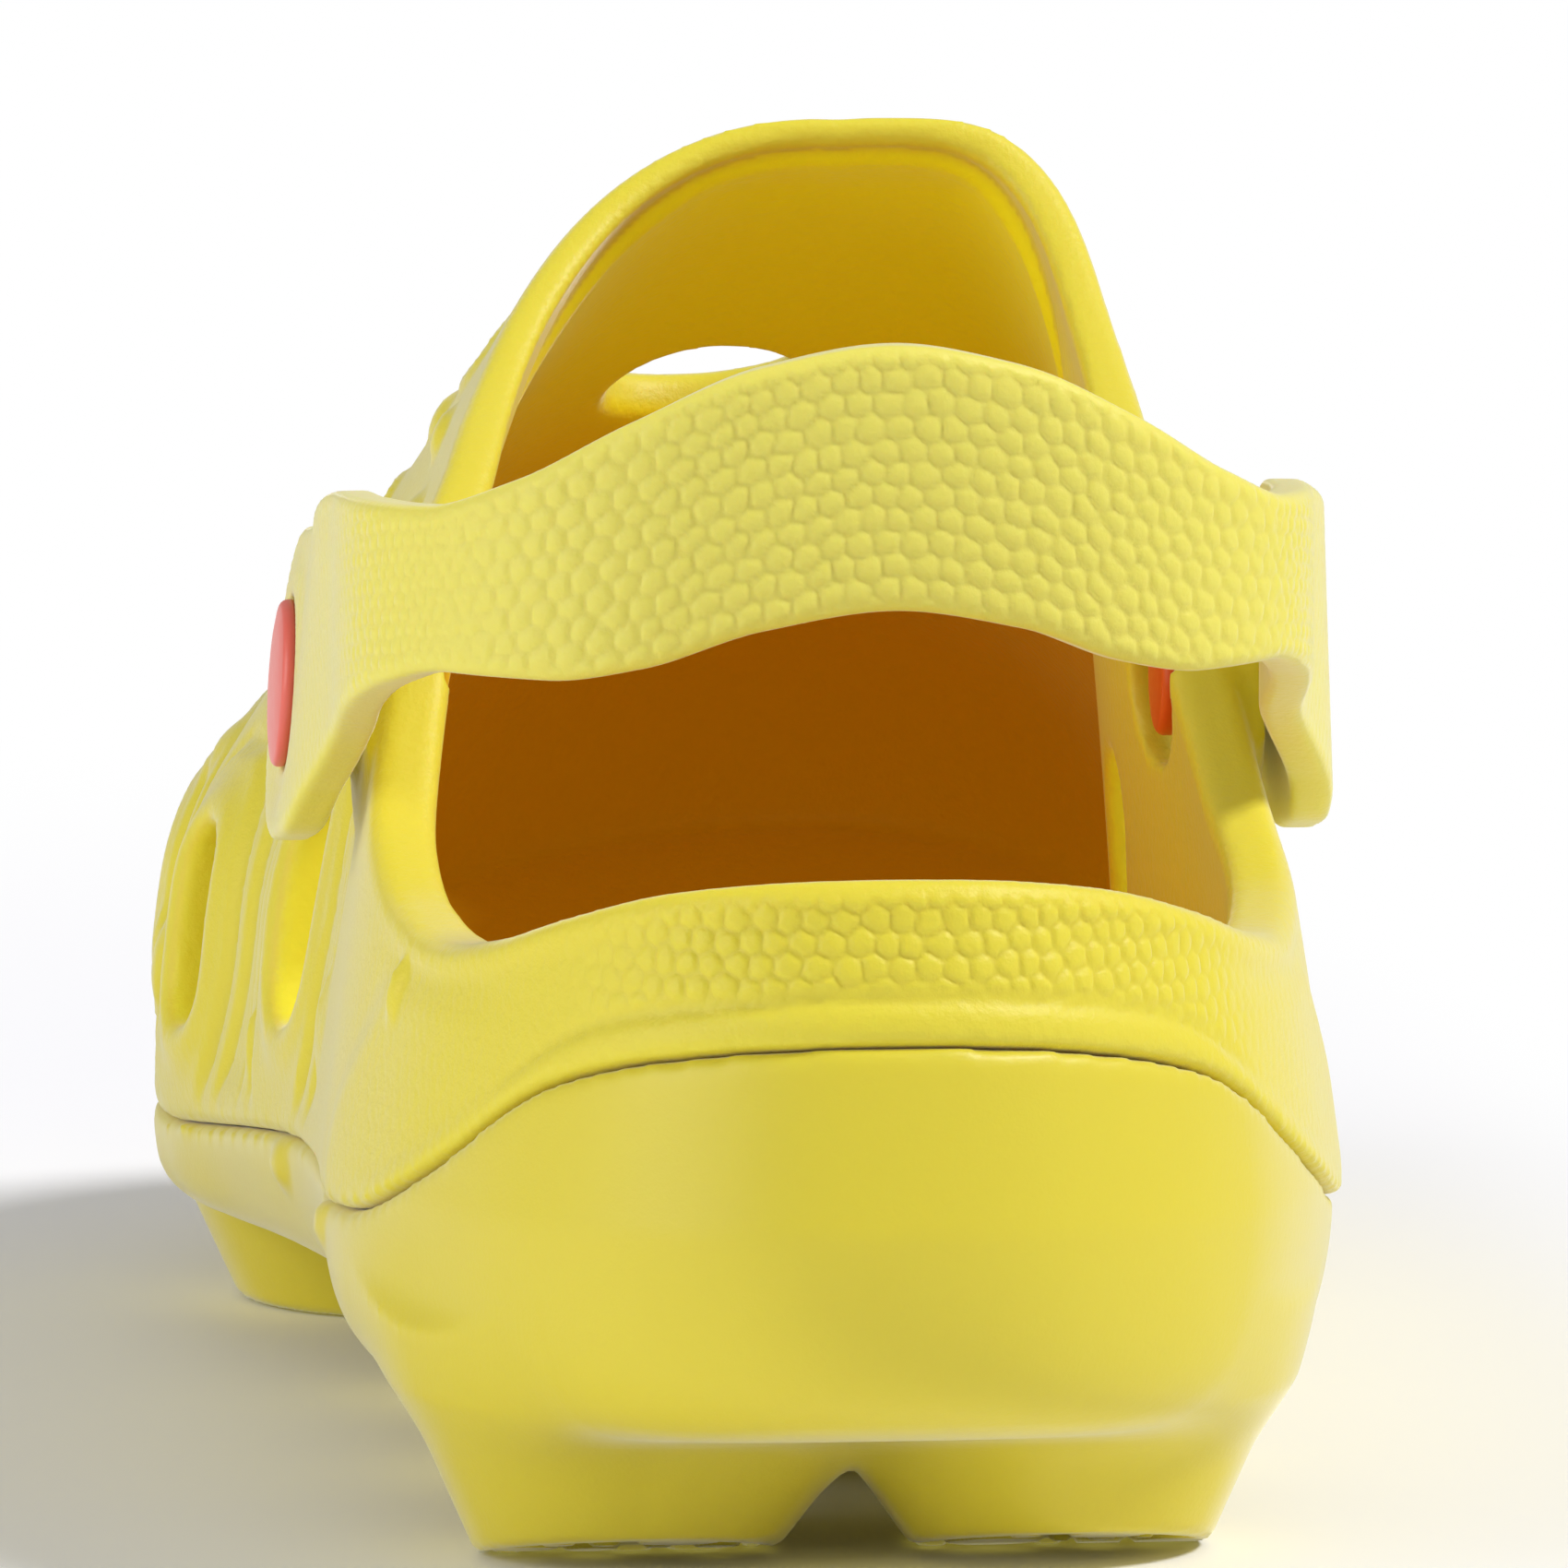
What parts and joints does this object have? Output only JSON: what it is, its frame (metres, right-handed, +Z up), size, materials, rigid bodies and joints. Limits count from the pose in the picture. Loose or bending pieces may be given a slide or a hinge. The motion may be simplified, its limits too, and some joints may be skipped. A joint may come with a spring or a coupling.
{
  "type": "garden clog",
  "caption": "Left moulded-foam garden clog: closed vented toe, low heel rim, round-lug outsole and a swivelling heel strap on snap rivets.",
  "frame": {"origin": "centre of the bounding box in plan, at ground level under the lugs", "axes": "+Y towards the toe, +X towards the inner (medial) side of the foot, +Z up"},
  "size_m": [0.1174, 0.2936, 0.1244],
  "materials": {
    "upper_foam": "satin lemon foam, fine moulded grain and moulded pebbles at the heel",
    "outsole_foam": "smooth satin lemon foam",
    "strap_foam": "satin pale lemon foam with moulded pebble grain",
    "rivet_button": "smooth coral red plastic, slight sheen",
    "rivet_cap": "smooth orange red plastic, slight sheen"
  },
  "bodies": {
    "clog": {"upper_shell": "upper_foam", "outsole": "outsole_foam", "rivet_button_lateral": "rivet_button", "rivet_button_medial": "rivet_button", "rivet_cap_lateral": "rivet_cap", "rivet_cap_medial": "rivet_cap"},
    "strap": {"heel_strap": "strap_foam"}
  },
  "joints": [
    {"name": "strap_swing", "type": "hinge", "parent": "clog", "child": "strap", "pos_m": [-0.00272, -0.04125, 0.0748], "axis": [-1, 0, 0], "range_deg": [-10, 115]}
  ]
}
